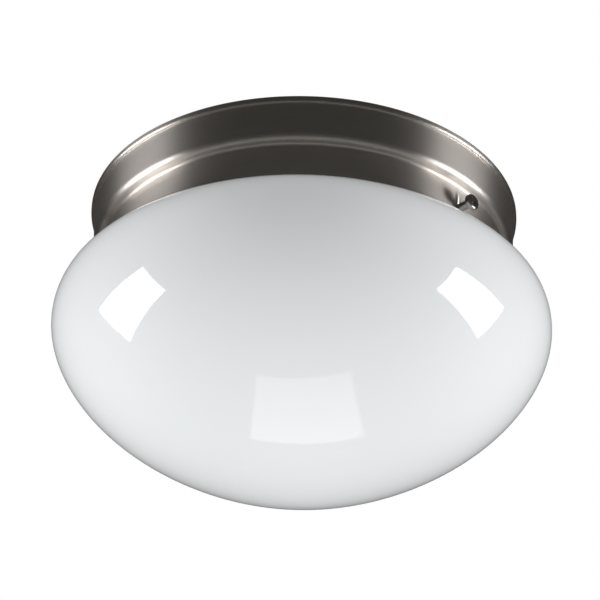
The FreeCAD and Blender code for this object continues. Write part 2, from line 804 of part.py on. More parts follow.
def make_lampholder_bracket():
    """The bent steel strap behind a lampholder, with a foot that is riveted to the plate."""
    back = LAMPHOLDER_BACK - BRACKET / 2
    top = PLATE_UNDERSIDE - BRACKET / 2
    bottom = -LAMP_AXIS_DEPTH - HOLDER_SCREW_DROP - BRACKET_END
    centreline = rounded_edges(
        [
            section_point(back, bottom),
            section_point(back, top),
            section_point(back - BRACKET / 2 + BRACKET_FOOT, top),
        ],
        [BRACKET_BEND_RADIUS],
    )
    strap = Part.Wire(centreline).makeOffset2D(BRACKET / 2, 0, False, False)
    bracket = Part.Face(strap).extrude(Vector(0, BRACKET_WIDTH, 0))
    bracket.translate(Vector(0, LAMP_SIDE_OFFSET - BRACKET_WIDTH / 2, 0))
    below = Vector(0, 0, PLATE_UNDERSIDE - BRACKET - CUT_MARGIN)
    above = Vector(0, 0, PLATE_UNDERSIDE + CUT_MARGIN)
    for place in rivet_places()[:2]:
        bracket = bracket.cut(rod(RIVET_RADIUS, place + below, place + above))
    through = Vector(BRACKET + 2 * CUT_MARGIN, 0, 0)
    for drop in (-HOLDER_SCREW_DROP, HOLDER_SCREW_DROP):
        start_x = LAMPHOLDER_BACK - BRACKET - CUT_MARGIN
        start = Vector(start_x, LAMP_SIDE_OFFSET, -LAMP_AXIS_DEPTH + drop)
        bracket = bracket.cut(rod(HOLDER_SCREW_HOLE_RADIUS, start, start + through))
    return bracket


def make_bracket_rivets():
    """The four rivets through the plate and the bracket feet."""
    rivet = domed_rivet(PLATE_UNDERSIDE - BRACKET, PLATE_TOP)
    return Part.makeCompound([rivet.translated(place) for place in rivet_places()])


def domed_rivet(low, high):
    """A rivet on Z with a low domed head, part of a ball, on each end of its grip."""
    ball_radius = (RIVET_HEAD_RADIUS**2 + RIVET_HEAD_HEIGHT**2) / (2 * RIVET_HEAD_HEIGHT)
    sunk = ball_radius - RIVET_HEAD_HEIGHT
    grip = rod(RIVET_RADIUS, Vector(0, 0, low), Vector(0, 0, high))
    heads = []
    for seat, outward in ((low, -1), (high, 1)):
        ball = Part.makeSphere(ball_radius, Vector(0, 0, seat - outward * sunk))
        room = rod(RIVET_HEAD_RADIUS, Vector(0, 0, seat), Vector(0, 0, seat + 2 * outward))
        heads.append(ball.common(room))
    return grip.fuse(heads).removeSplitter()


def make_lampholder_screws():
    """The screws that hold the two lampholders to their brackets."""
    screws = []
    head = pan_head(2.9, 1.8, 1.5)
    for drop in (-HOLDER_SCREW_DROP, HOLDER_SCREW_DROP):
        seat = Vector(LAMPHOLDER_BACK - BRACKET, LAMP_SIDE_OFFSET, -LAMP_AXIS_DEPTH + drop)
        shank_end = seat + Vector(BRACKET + HOLDER_SCREW_REACH, 0, 0)
        shank = rod(HOLDER_SCREW_HOLE_RADIUS - THREAD_CLEARANCE, seat, shank_end)
        screws.append(pointing(head, Vector(-1, 0, 0), seat).fuse(shank))
    return Part.makeCompound(screws + [half_turn(screw) for screw in screws])


# Bulbs

def bulb_outline(inset):
    """The bulb's glass from inside the cap to its tip: neck, flare and round end."""
    radius = BULB_RADIUS - inset
    tip = BULB_LENGTH - inset
    centre = BULB_LENGTH - BULB_RADIUS
    neck = BULB_NECK_RADIUS - inset
    flare = Part.BSplineCurve()
    flare.interpolate(
        Points=[
            section_point(neck, CAP_TOP - 6.0),
            section_point(CAP_RADIUS - CAP_WALL - 0.03 - inset, CAP_TOP),
            section_point(neck + 3.2, CAP_TOP + 8.0),
            section_point(radius * 0.83, centre - 16.0),
            section_point(radius, centre),
        ],
        InitialTangent=section_point(0, 1),
        FinalTangent=section_point(0, 1),
    )
    end = Part.Arc(
        section_point(radius, centre),
        section_point(radius * math.sqrt(0.5), centre + radius * math.sqrt(0.5)),
        section_point(0, tip),
    )
    return flare, end


def stand_in_holder(shape):
    """A bulb part from its own frame, with Z from its contact to its tip, to the first bulb's place."""
    shape.translate(Vector(0, 0, BULB_START))
    return lay_down(shape)


def make_bulb_glass():
    """The pear-shaped envelope, of one thin wall and open only inside the cap."""
    outer_flare, outer_end = bulb_outline(0)
    inner_flare, inner_end = bulb_outline(BULB_WALL)
    edges = [
        outer_flare.toShape(),
        outer_end.toShape(),
        Part.LineSegment(outer_end.EndPoint, inner_end.EndPoint).toShape(),
        inner_end.toShape(),
        inner_flare.toShape(),
        Part.LineSegment(inner_flare.StartPoint, outer_flare.StartPoint).toShape(),
    ]
    return stand_in_holder(turned(Part.__sortEdges__(edges)))


def make_bulb_cap():
    """The metal screw cap, tapered to the insulator at its end."""
    inner = CAP_RADIUS - CAP_WALL
    outline = [
        section_point(8.6, CAP_BOTTOM),
        section_point(CAP_RADIUS, CAP_BOTTOM + 3.2),
        section_point(CAP_RADIUS, CAP_TOP),
        section_point(inner, CAP_TOP),
        section_point(inner, CAP_BOTTOM + 3.4),
        section_point(8.6, CAP_BOTTOM + CAP_WALL + 0.1),
    ]
    return stand_in_holder(turned(polygon_section(outline)))


def make_bulb_insulator():
    """The glass insulator in the end of the cap."""
    outline = [
        section_point(3.9, 0.9),
        section_point(8.5, CAP_BOTTOM),
        section_point(8.5, CAP_BOTTOM + 0.9),
        section_point(3.9, CAP_BOTTOM + 0.9),
    ]
    return stand_in_holder(turned(polygon_section(outline)))


def make_bulb_contact():
    """The solder contact in the middle of the insulator, with a low dome."""
    tip = section_point(0, 0)
    dome_middle = section_point(2.28, 0.25)
    dome_edge = section_point(3.8, 0.9)
    base_edge = section_point(3.8, 2.4)
    base = section_point(0, 2.4)
    edges = [
        Part.Arc(tip, dome_middle, dome_edge).toShape(),
        Part.LineSegment(dome_edge, base_edge).toShape(),
        Part.LineSegment(base_edge, base).toShape(),
        Part.LineSegment(base, tip).toShape(),
    ]
    return stand_in_holder(turned(edges))


def save(name, shape):
    """Write one node's solids, after a check that they are sound."""
    if not shape.isValid() or not shape.Solids:
        raise ValueError("unsound shape: " + name)
    shape.exportStep("parts/" + name + ".step")
    print("{:26s} {:2d} solids {:10.1f} mm3".format(name, len(shape.Solids), shape.Volume))


def main():
    """Build every piece of the light and write one file for each node."""
    os.makedirs("parts", exist_ok=True)
    save("canopy_shell", make_canopy_shell())
    save("globe", make_globe())
    for number, angle in enumerate(thumbscrew_angles(), start=1):
        save("thumbscrew_{}".format(number), make_thumbscrew(angle))
    save("socket_plate", make_socket_plate())
    save("insulation_pad", make_insulation_pad())
    save("crossbar", make_crossbar())
    save("mounting_screws", make_mounting_screws())
    bar_grip = 2 * GROUND_WIRE_RADIUS + BAR - HANGER_END_DEPTH
    save("bar_ground_screw", hex_screw(bar_ground_seat(), -UP, bar_grip))
    plate_grip = 2 * GROUND_WIRE_RADIUS + PLATE + CUT_MARGIN
    save("plate_ground_screw", hex_screw(plate_ground_seat(), UP, plate_grip))
    save("ground_wire", make_ground_wire())
    save("wire_bushing", make_wire_bushing())
    save("black_lead_1", make_lead(-LEAD_SPREAD, 1, False))
    save("white_lead_1", make_lead(-LEAD_SPREAD, -1, False))
    save("black_lead_2", make_lead(LEAD_SPREAD, 1, True))
    save("white_lead_2", make_lead(LEAD_SPREAD, -1, True))
    save("black_wire_connector", make_connector(1))
    save("white_wire_connector", make_connector(-1))
    save("bracket_rivets", make_bracket_rivets())
    save("lampholder_screws", make_lampholder_screws())

    paired = {
        "lampholder_body": make_lampholder_body(),
        "screw_shell": make_screw_shell(),
        "centre_contact": make_centre_contact(),
        "lampholder_bracket": make_lampholder_bracket(),
        "bulb_glass": make_bulb_glass(),
        "bulb_cap": make_bulb_cap(),
        "bulb_insulator": make_bulb_insulator(),
        "bulb_contact": make_bulb_contact(),
    }
    for name, shape in paired.items():
        save(name + "_1", shape)
        save(name + "_2", half_turn(shape))


main()
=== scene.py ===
"""Looks of a flush mount ceiling light: satin nickel pan, opal glass globe and what they hold.

Everything is in metres, in the frame of the model: the origin is the centre of the crossbar's top
face, in the plane of the ceiling, and +Z points up into the ceiling.
"""

import logging
import math
from dataclasses import dataclass
from enum import Enum
from typing import ClassVar

import bmesh
import bpy
import numpy as np
from mathutils import Matrix, Vector, noise
from mathutils.geometry import interpolate_bezier


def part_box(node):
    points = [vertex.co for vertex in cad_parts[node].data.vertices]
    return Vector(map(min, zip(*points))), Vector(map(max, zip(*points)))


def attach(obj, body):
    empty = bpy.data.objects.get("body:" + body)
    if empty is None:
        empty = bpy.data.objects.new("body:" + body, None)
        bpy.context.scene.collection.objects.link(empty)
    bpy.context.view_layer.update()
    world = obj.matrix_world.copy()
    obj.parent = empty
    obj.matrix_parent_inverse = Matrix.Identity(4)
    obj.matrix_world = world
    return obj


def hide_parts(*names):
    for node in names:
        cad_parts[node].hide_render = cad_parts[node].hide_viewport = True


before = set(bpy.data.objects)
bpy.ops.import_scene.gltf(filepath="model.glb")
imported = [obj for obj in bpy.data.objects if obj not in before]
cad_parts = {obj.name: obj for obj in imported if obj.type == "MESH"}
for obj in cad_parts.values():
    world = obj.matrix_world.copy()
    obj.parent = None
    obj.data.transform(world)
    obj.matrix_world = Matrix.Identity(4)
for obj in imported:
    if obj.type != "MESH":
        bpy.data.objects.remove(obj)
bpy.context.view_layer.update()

MM = 0.001
FULL_TURN = 2 * math.pi
UP = Vector((0, 0, 1))
DOUBLE_DISTANCE = 0.001 * MM
WHITE = (1.0, 1.0, 1.0)

log = logging.getLogger("light")

Socket = bpy.types.NodeSocket
Colour = tuple[float, float, float]
Place = tuple[float, float, float]
Corner = tuple[float, float, float]  # radius, height, and the radius that rounds it


# Shaders


class Sum(Enum):
    """What a Math node does with its two values."""

    ADD = "ADD"
    MULTIPLY = "MULTIPLY"


class VectorSum(Enum):
    """What a Vector Math node does with its vectors."""

    MULTIPLY = "MULTIPLY"
    LENGTH = "LENGTH"
    NORMALIZE = "NORMALIZE"


class Shader:
    """The node tree of one material, with short calls for the nodes that the finishes use."""

    def __init__(self, name: str) -> None:
        """Start a material with a bare principled shader.

        Args:
            name: The material's name.
        """
        self.material = bpy.data.materials.new(name)
        self.material.use_nodes = True
        self.nodes = self.material.node_tree.nodes
        self.surface = self.nodes["Principled BSDF"]
        self.place = self.nodes.new("ShaderNodeTexCoord").outputs["Object"]

    def wire(self, target: Socket, value: "Socket | float | Colour") -> None:
        """Link a socket to the target, or set the target to a constant.

        Args:
            target: The input socket.
            value: An output socket, a number, or a colour or vector.
        """
        if isinstance(value, Socket):
            self.material.node_tree.links.new(value, target)
        elif isinstance(value, tuple) and target.type == "RGBA":
            target.default_value = (*value, 1.0)
        else:
            target.default_value = value

    def put(self, **values: "Socket | float | Colour") -> None:
        """Set or link inputs of the principled shader.

        Args:
            values: Input names with underscores for their spaces, and what each gets.
        """
        for name, value in values.items():
            words = " ".join(w if w == "IOR" else w.capitalize() for w in name.split("_"))
            self.wire(self.surface.inputs[words], value)

    def maths(self, operation: Sum, first: "Socket | float", second: "Socket | float") -> Socket:
        """One Math node.

        Args:
            operation: What the node does.
            first: The first value.
            second: The second value.

        Returns:
            The node's output.
        """
        node = self.nodes.new("ShaderNodeMath")
        node.operation = operation.value
        self.wire(node.inputs[0], first)
        self.wire(node.inputs[1], second)
        return node.outputs[0]

    def vector_maths(self, operation: VectorSum, first: Socket, second: Place = (0.0, 0.0, 0.0)) -> Socket:
        """One Vector Math node.

        Args:
            operation: What the node does.
            first: The first vector.
            second: The second vector, where the operation has one.

        Returns:
            The node's output, a number for a length and a vector otherwise.
        """
        node = self.nodes.new("ShaderNodeVectorMath")
        node.operation = operation.value
        self.wire(node.inputs[0], first)
        self.wire(node.inputs[1], second)
        return node.outputs["Value" if operation is VectorSum.LENGTH else "Vector"]

    def noise(
        self,
        scale: float,
        detail: float = 3.0,
        roughness: float = 0.5,
        place: "Socket | None" = None,
        depth: "Socket | None" = None,
    ) -> Socket:
        """One Noise Texture node.

        Args:
            scale: Features per metre of the coordinates.
            detail: Octaves of finer noise.
            roughness: How strong the finer octaves are.
            place: Coordinates, or None for the object's own.
            depth: A fourth coordinate, or None for three-dimensional noise.

        Returns:
            The noise, from 0 to 1.
        """
        node = self.nodes.new("ShaderNodeTexNoise")
        self.wire(node.inputs["Scale"], scale)
        self.wire(node.inputs["Detail"], detail)
        self.wire(node.inputs["Roughness"], roughness)
        self.wire(node.inputs["Vector"], place or self.place)
        if depth is not None:
            node.noise_dimensions = "4D"
            self.wire(node.inputs["W"], depth)
        return node.outputs[0]

    def spread(self, value: Socket, low: float, high: float) -> Socket:
        """Stretch a 0 to 1 pattern to another range.

        Args:
            value: The pattern.
            low: What 0 becomes.
            high: What 1 becomes.

        Returns:
            The stretched pattern.
        """
        node = self.nodes.new("ShaderNodeMapRange")
        self.wire(node.inputs["Value"], value)
        self.wire(node.inputs["To Min"], low)
        self.wire(node.inputs["To Max"], high)
        return node.outputs[0]

    def window(self, value: Socket, start: float, end: float) -> Socket:
        """Turn a value into 0 below start and 1 above end, smooth between them.

        Args:
            value: The value.
            start: Where the step begins.
            end: Where the step is complete.

        Returns:
            The step.
        """
        node = self.nodes.new("ShaderNodeMapRange")
        node.interpolation_type = "SMOOTHSTEP"
        self.wire(node.inputs["Value"], value)
        self.wire(node.inputs["From Min"], start)
        self.wire(node.inputs["From Max"], end)
        return node.outputs[0]

    def mixed(self, share: "Socket | float", first: "Socket | Colour", second: "Socket | Colour") -> Socket:
        """Mix two colours.

        Args:
            share: How much of the second colour shows.
            first: The first colour.
            second: The second colour.

        Returns:
            The mixed colour.
        """
        node = self.nodes.new("ShaderNodeMix")
        node.data_type = "RGBA"
        self.wire(node.inputs[0], share)
        self.wire(node.inputs[6], first)
        self.wire(node.inputs[7], second)
        return node.outputs[2]

    def relief(self, height: Socket, depth: float, strength: float = 1.0) -> Socket:
        """A bump from a 0 to 1 height.

        Args:
            height: The height pattern.
            depth: How far 1 stands above 0, in metres.
            strength: Share of the bump that is used.

        Returns:
            The bumped normal.
        """
        node = self.nodes.new("ShaderNodeBump")
        self.wire(node.inputs["Height"], height)
        self.wire(node.inputs["Distance"], depth)
        self.wire(node.inputs["Strength"], strength)
        return node.outputs[0]

    def round_axis(self) -> tuple[Socket, Socket, Socket]:
        """Coordinates round the light's own axis.

        Returns:
            A direction that only turns with the angle, the radius, and the height.
        """
        parts = self.nodes.new("ShaderNodeSeparateXYZ")
        self.wire(parts.inputs[0], self.place)
        flat = self.vector_maths(VectorSum.MULTIPLY, self.place, (1.0, 1.0, 0.0))
        direction = self.vector_maths(VectorSum.NORMALIZE, flat)
        radius = self.vector_maths(VectorSum.LENGTH, flat)
        return direction, radius, parts.outputs[2]


def shaded(colour: Colour, share: float) -> Colour:
    """A darker or paler colour.

    Args:
        colour: The colour.
        share: How much of it is kept, over 1 for a paler one.

    Returns:
        The new colour, no channel over 1.
    """
    return tuple(min(1.0, share * channel) for channel in colour)


# Finishes


@dataclass(frozen=True)
class Finish:
    """A finish that pieces are dressed in."""

    name: str

    def paint(self, shader: Shader) -> None:
        """Fill the shader in. Each finish has its own.

        Args:
            shader: The material's shader.
        """
        raise NotImplementedError(self.name)

    def material(self) -> bpy.types.Material:
        """The finish's material, made at its first use.

        Returns:
            The material.
        """
        made = bpy.data.materials.get(self.name)
        if made is None:
            shader = Shader(self.name)
            self.paint(shader)
            made = shader.material
        return made

    def dress(self, *pieces: bpy.types.Object) -> None:
        """Put the finish on pieces in place of what they have.

        Args:
            pieces: Mesh objects.
        """
        for piece in pieces:
            piece.data.materials.clear()
            piece.data.materials.append(self.material())


@dataclass(frozen=True)
class BrushedNickel(Finish):
    """Nickel with a satin finish brushed round the light's axis."""

    colour: Colour = (0.60, 0.56, 0.525)
    dark_share: float = 0.90
    light_share: float = 1.07
    roughness: float = 0.38
    roughness_swing: float = 0.05
    anisotropy: float = 0.90
    brush_turn: float = 0.25
    line_rate: float = 2600.0
    line_drift: float = 2.2
    line_depth: float = 0.004 * MM
    broad_share: float = 1 / 6
    radius_weight: float = 1.37

    def paint(self, shader: Shader) -> None:
        """Lines run round the axis: fine ones in the relief and the gloss, fine and broad ones together in
        colour.

        Args:
            shader: The material's shader.
        """
        direction, radius, height = shader.round_axis()
        across = shader.maths(Sum.ADD, height, shader.maths(Sum.MULTIPLY, radius, self.radius_weight))
        fine_line = shader.maths(Sum.MULTIPLY, across, self.line_rate)
        broad_line = shader.maths(Sum.MULTIPLY, across, self.line_rate * self.broad_share)
        fine = shader.noise(self.line_drift, detail=4.0, roughness=0.7, place=direction, depth=fine_line)
        broad = shader.noise(self.line_drift, detail=2.0, place=direction, depth=broad_line)
        lines = shader.maths(Sum.MULTIPLY, shader.maths(Sum.ADD, fine, broad), 0.5)
        dark = shaded(self.colour, self.dark_share)
        light = shaded(self.colour, self.light_share)
        brushing = shader.nodes.new("ShaderNodeTangent")
        brushing.direction_type = "RADIAL"
        brushing.axis = "Z"
        least = self.roughness - self.roughness_swing
        most = self.roughness + self.roughness_swing
        shader.put(
            base_color=shader.mixed(lines, dark, light),
            metallic=1.0,
            roughness=shader.spread(fine, least, most),
            anisotropic=self.anisotropy,
            anisotropic_rotation=self.brush_turn,
            tangent=brushing.outputs[0],
            normal=shader.relief(fine, self.line_depth, strength=0.35),
        )


@dataclass(frozen=True)
class PlatedNickel(Finish):
    """Bright nickel plate on a turned screw."""

    colour: Colour = (0.62, 0.59, 0.55)
    marked_share: float = 0.86
    smooth_roughness: float = 0.16
    marked_roughness: float = 0.30
    mark_rate: float = 900.0
    mark_depth: float = 0.01 * MM

    def paint(self, shader: Shader) -> None:
        """Bright, with faint handling marks.

        Args:
            shader: The material's shader.
        """
        marks = shader.noise(self.mark_rate, detail=4.0, roughness=0.6)
        shader.put(
            base_color=shader.mixed(marks, shaded(self.colour, self.marked_share), self.colour),
            metallic=1.0,
            roughness=shader.spread(marks, self.smooth_roughness, self.marked_roughness),
            normal=shader.relief(marks, self.mark_depth, strength=0.2),
        )


@dataclass(frozen=True)
class OpalGlass(Finish):
    """White opal under a thin skin of clear glass, glossy and a little wavy from blowing."""

    colour: Colour = (0.855, 0.885, 0.905)
    cloud_share: float = 0.985
    cloud_rate: float = 14.0
    wave_rate: float = 9.0
    wave_depth: float = 0.15 * MM
    scatter_depth: float = 2.2 * MM

    def paint(self, shader: Shader) -> None:
        """Dense white that scatters inside, with a clear smooth surface.

        Args:
            shader: The material's shader.
        """
        cloud = shader.noise(self.cloud_rate, detail=2.0)
        wave = shader.noise(self.wave_rate, detail=1.0, roughness=0.4)
        shader.put(
            base_color=shader.mixed(cloud, shaded(self.colour, self.cloud_share), self.colour),
            roughness=0.035,
            IOR=1.52,
            subsurface_weight=0.35,
            subsurface_radius=(0.9, 1.0, 1.1),
            subsurface_scale=self.scatter_depth,
            normal=shader.relief(wave, self.wave_depth, strength=0.25),
        )


@dataclass(frozen=True)
class Coating(Finish):
    """A painted, glazed, moulded or extruded surface of one colour."""

    colour: Colour = (0.8, 0.8, 0.8)
    gloss_roughness: float = 0.3
    grain_rate: float = 900.0
    grain_depth: float = 0.01 * MM
    mottle: float = 0.04
    coat: float = 0.0
    smoother: float = 0.05
    rougher: float = 0.06
    cloud_rate: float = 60.0

    def paint(self, shader: Shader) -> None:
        """One colour with a slight mottle, a fine grain and an even gloss.

        Args:
            shader: The material's shader.
        """
        cloud = shader.noise(self.cloud_rate, roughness=0.6)
        grain = shader.noise(self.grain_rate)
        least = self.gloss_roughness - self.smoother
        most = self.gloss_roughness + self.rougher
        shader.put(
            base_color=shader.mixed(cloud, shaded(self.colour, 1 - self.mottle), self.colour),
            roughness=shader.spread(grain, least, most),
            coat_weight=self.coat,
            coat_roughness=0.08,
            normal=shader.relief(grain, self.grain_depth, strength=0.5),
        )


@dataclass(frozen=True)
class PlainMetal(Finish):
    """A plated or bare metal with a fine rolled or drawn surface."""

    colour: Colour = (0.66, 0.67, 0.69)
    tint: Colour = (0.60, 0.63, 0.68)
    shine_roughness: float = 0.28
    smoother: float = 0.08
    rougher: float = 0.10
    cloud_rate: float = 45.0
    mark_rate: float = 700.0
    mark_depth: float = 0.012 * MM

    def paint(self, shader: Shader) -> None:
        """Metal with slow shifts of colour and faint marks in its gloss.

        Args:
            shader: The material's shader.
        """
        cloud = shader.noise(self.cloud_rate, detail=4.0, roughness=0.6)
        marks = shader.noise(self.mark_rate, roughness=0.6)
        least = self.shine_roughness - self.smoother
        most = self.shine_roughness + self.rougher
        shader.put(
            base_color=shader.mixed(shader.window(cloud, start=0.3, end=0.7), self.colour, self.tint),
            metallic=1.0,
            roughness=shader.spread(marks, least, most),
            normal=shader.relief(marks, self.mark_depth, strength=0.3),
        )


@dataclass(frozen=True)
class FrostedBulb(Finish):
    """Bulb glass with a soft white coating on its inside."""

    colour: Colour = (0.90, 0.90, 0.885)
    thin_share: float = 0.97
    powder_rate: float = 160.0
    thick_roughness: float = 0.30
    thin_roughness: float = 0.38

    def paint(self, shader: Shader) -> None:
        """White powder seen through clear glass.

        Args:
            shader: The material's shader.
        """
        powder = shader.noise(self.powder_rate, roughness=0.6)
        shader.put(
            base_color=shader.mixed(powder, shaded(self.colour, self.thin_share), self.colour),
            roughness=shader.spread(powder, self.thick_roughness, self.thin_roughness),
            coat_weight=1.0,
            coat_roughness=0.03,
            IOR=1.5,
        )


@dataclass(frozen=True)
class GlassFibre(Finish):
    """Loose glass fibre, pale straw."""

    colour: Colour = (0.83, 0.77, 0.56)
    # Share of the colour kept in the painted shade of the fibre's hollows.
    hollow_shade_share: float = 0.62
    pale_share: float = 1.12
    tuft_rate: float = 170.0
    strand_rate: float = 1400.0
    strand_depth: float = 0.25 * MM

    def paint(self, shader: Shader) -> None:
        """Matt fibre with random patches of painted shade, standing for hollows, and pale loose strands.

        Args:
            shader: The material's shader.
        """
        tuft = shader.noise(self.tuft_rate, detail=5.0, roughness=0.65)
        strand = shader.noise(self.strand_rate, detail=4.0, roughness=0.7)
        both = shader.maths(Sum.MULTIPLY, shader.maths(Sum.ADD, tuft, strand), 0.5)
        # The darker colour is painted shade for the hollows between tufts; noise sets where it falls, not
        # the tufts' shape.
        hollow_shade = shaded(self.colour, self.hollow_shade_share)
        pale = shaded(self.colour, self.pale_share)
        shader.put(
            base_color=shader.mixed(both, hollow_shade, pale),
            roughness=0.95,
            sheen_weight=0.3,
            sheen_roughness=0.6,
            normal=shader.relief(strand, self.strand_depth, strength=0.8),
        )


@dataclass(frozen=True)
class DarkCloth(Finish):
    """Dark cloth of the studio, lit a little."""

    colour: Colour = (0.02, 0.02, 0.02)
    glow_colour: Colour = (1.0, 0.97, 0.94)
    glow: float = 0.04

    def paint(self, shader: Shader) -> None:
        """Nearly black, with the dim even light that cloth in a white room has.

        Args:
            shader: The material's shader.
        """
        shader.put(
            base_color=self.colour,
            roughness=0.9,
            emission_color=self.glow_colour,
            emission_strength=self.glow,
        )


@dataclass(frozen=True)
class PaleFloor(Finish):
    """The studio's pale floor."""

    colour: Colour = (0.86, 0.86, 0.86)
    seen_glow: float = 0.5

    def paint(self, shader: Shader) -> None:
        """Matt and pale, lifted towards white where the camera looks.

        Args:
            shader: The material's shader.
        """
        seen = shader.nodes.new("ShaderNodeLightPath").outputs["Is Camera Ray"]
        shader.put(
            base_color=self.colour,
            roughness=0.6,
            emission_color=WHITE,
            emission_strength=shader.maths(Sum.MULTIPLY, seen, self.seen_glow),
        )


NICKEL = BrushedNickel("satin_nickel")
SCREW_NICKEL = PlatedNickel("screw_nickel")
OPAL = OpalGlass("opal_glass")
FIBRE = GlassFibre("glass_fibre")
BULB = FrostedBulb("coated_bulb")
CLOTH = DarkCloth("dark_cloth")
FLOOR = PaleFloor("pale_floor")
ZINC = PlainMetal("bright_zinc")
COPPER = PlainMetal("bare_copper", (0.80, 0.45, 0.30), (0.62, 0.33, 0.20), shine_roughness=0.3)
BRASS = PlainMetal("drawn_brass", (0.80, 0.62, 0.30), (0.66, 0.49, 0.22), shine_roughness=0.27)
ALUMINIUM = PlainMetal("cap_aluminium", (0.80, 0.81, 0.82), (0.74, 0.75, 0.77), shine_roughness=0.26)
SOLDER = PlainMetal("solder", (0.55, 0.55, 0.56), (0.45, 0.46, 0.48), shine_roughness=0.4)
ENAMEL = Coating(
    "white_enamel",
    (0.86, 0.86, 0.845),
    gloss_roughness=0.28,
    grain_rate=700.0,
    grain_depth=0.02 * MM,
    mottle=0.03,
)
GREEN = Coating(
    "green_screw",
    (0.04, 0.30, 0.11),
    gloss_roughness=0.32,
    grain_rate=800.0,
    grain_depth=0.006 * MM,
    mottle=0.2,
    coat=0.5,
)
NYLON = Coating("natural_nylon", (0.84, 0.83, 0.77), gloss_roughness=0.42, grain_rate=500.0, mottle=0.05)
BLACK_PVC = Coating(
    "black_insulation",
    (0.018, 0.018, 0.02),
    gloss_roughness=0.38,
    grain_rate=600.0,
    grain_depth=0.008 * MM,
    mottle=0.3,
)
WHITE_PVC = Coating(
    "white_insulation",
    (0.82, 0.82, 0.79),
    gloss_roughness=0.38,
    grain_rate=600.0,
    grain_depth=0.008 * MM,
    mottle=0.05,
)
ORANGE = Coating(
    "orange_plastic", (0.82, 0.27, 0.035), gloss_roughness=0.36, grain_depth=0.012 * MM, mottle=0.08
)
PORCELAIN = Coating(
    "glazed_porcelain",
    (0.87, 0.86, 0.815),
    gloss_roughness=0.25,
    grain_rate=120.0,
    grain_depth=0.03 * MM,
    mottle=0.05,
    coat=0.9,
)
INSULATOR = Coating("black_glass", (0.025, 0.02, 0.025), gloss_roughness=0.12, grain_rate=90.0, mottle=0.3)


# Mesh building


def finished(mesh: bmesh.types.BMesh, name: str, finish: Finish, smooth: bool = True) -> bpy.types.Object:
    """Turn a mesh in the making into a piece.

    Args:
        mesh: The mesh, which is used up.
        name: The piece's name.
        finish: Its finish.
        smooth: Whether its faces are shaded smooth.

    Returns:
        The piece, at the origin.
    """
    data = bpy.data.meshes.new(name)
    for face in mesh.faces:
        face.smooth = smooth
    mesh.to_mesh(data)
    mesh.free()
    piece = bpy.data.objects.new(name, data)
    bpy.context.scene.collection.objects.link(piece)
    finish.dress(piece)
    return piece


def spun(outline: list[Vector], steps: int, closed: bool = False) -> bmesh.types.BMesh:
    """Spin an outline in the plane of X and Z once round the light's axis.

    Args:
        outline: Points of the outline, with X as the radius.
        steps: How many faces go round.
        closed: Whether the last point joins the first.

    Returns:
        The spun mesh, its normals outward and its poles closed.
    """
    mesh = bmesh.new()
    verts = [mesh.verts.new(point) for point in outline]
    edges = [mesh.edges.new(pair) for pair in zip(verts, verts[1:])]
    if closed:
        edges.append(mesh.edges.new((verts[-1], verts[0])))
    bmesh.ops.spin(
        mesh, geom=verts + edges, cent=(0, 0, 0), axis=UP, angle=FULL_TURN, steps=steps, use_merge=True
    )
    bmesh.ops.remove_doubles(mesh, verts=mesh.verts, dist=DOUBLE_DISTANCE)
    bmesh.ops.recalc_face_normals(mesh, faces=mesh.faces)
    return mesh


def spline_slopes(points: np.ndarray, first: np.ndarray, last: np.ndarray) -> np.ndarray:
    """Slopes at the points of the smoothest curve through them, by chord length.

    Args:
        points: The points, one a row.
        first: The unit slope at the first point.
        last: The unit slope at the last point.

    Returns:
        The slope at each point.
    """
    step = np.linalg.norm(np.diff(points, axis=0), axis=1)
    count = len(points)
    matrix = np.eye(count)
    slopes = np.zeros_like(points)
    slopes[0] = first
    slopes[-1] = last
    for row in range(1, count - 1):
        before = step[row - 1]
        after = step[row]
        matrix[row, row - 1 : row + 2] = (after, 2 * (before + after), before)
        rise = after * (points[row] - points[row - 1]) / before
        rise += before * (points[row + 1] - points[row]) / after
        slopes[row] = 3 * rise
    return np.linalg.solve(matrix, slopes)


def smooth_curve(points: np.ndarray, slopes: np.ndarray, pieces: int) -> list[Vector]:
    """Points along the cubic curve with the given slopes.

    Args:
        points: The points, one a row.
        slopes: The slope at each point.
        pieces: Pieces between two points.

    Returns:
        Points along the curve, both ends included.
    """
    path = []
    for start, end, lead, trail in zip(points, points[1:], slopes, slopes[1:]):
        third = np.linalg.norm(end - start) / 3
        run = interpolate_bezier(
            Vector(start), Vector(start + lead * third), Vector(end - trail * third), Vector(end), pieces + 1
        )
        path += run[:-1]
    path.append(Vector(points[-1]))
    return path


def arc(centre: Vector, radius: float, start: float, end: float, pieces: int) -> list[Vector]:
    """An arc in the plane of X and Z.

    Args:
        centre: The arc's centre.
        radius: Its radius.
        start: The angle where it starts, from X towards Z.
        end: The angle where it ends.
        pieces: Pieces along it.

    Returns:
        Points along the arc, both ends included.
    """
    turns = np.linspace(start, end, pieces + 1)
    return [centre + Vector((math.cos(turn), 0, math.sin(turn))) * radius for turn in turns]


def bent(corners: list[Corner], pieces: int) -> list[Vector]:
    """A path in the plane of X and Z with its corners rounded.

    Args:
        corners: Radius and height of each corner, and the radius that rounds it, 0 at the ends.
        pieces: Pieces in each rounding.

    Returns:
        Points along the path.
    """
    points = [Vector((x, 0, z)) for x, z, _ in corners]
    path = [points[0]]
    for before, corner, after, (_, _, radius) in zip(points, points[1:], points[2:], corners[1:]):
        back = (before - corner).normalized()
        on = (after - corner).normalized()
        half = back.angle(on) / 2
        centre = corner + (back + on).normalized() * (radius / math.sin(half))
        first = (corner + back * (radius / math.tan(half)) - centre).normalized()
        last = (corner + on * (radius / math.tan(half)) - centre).normalized()
        path += [centre + first.slerp(last, step / pieces) * radius for step in range(pieces + 1)]
    return path + [points[-1]]


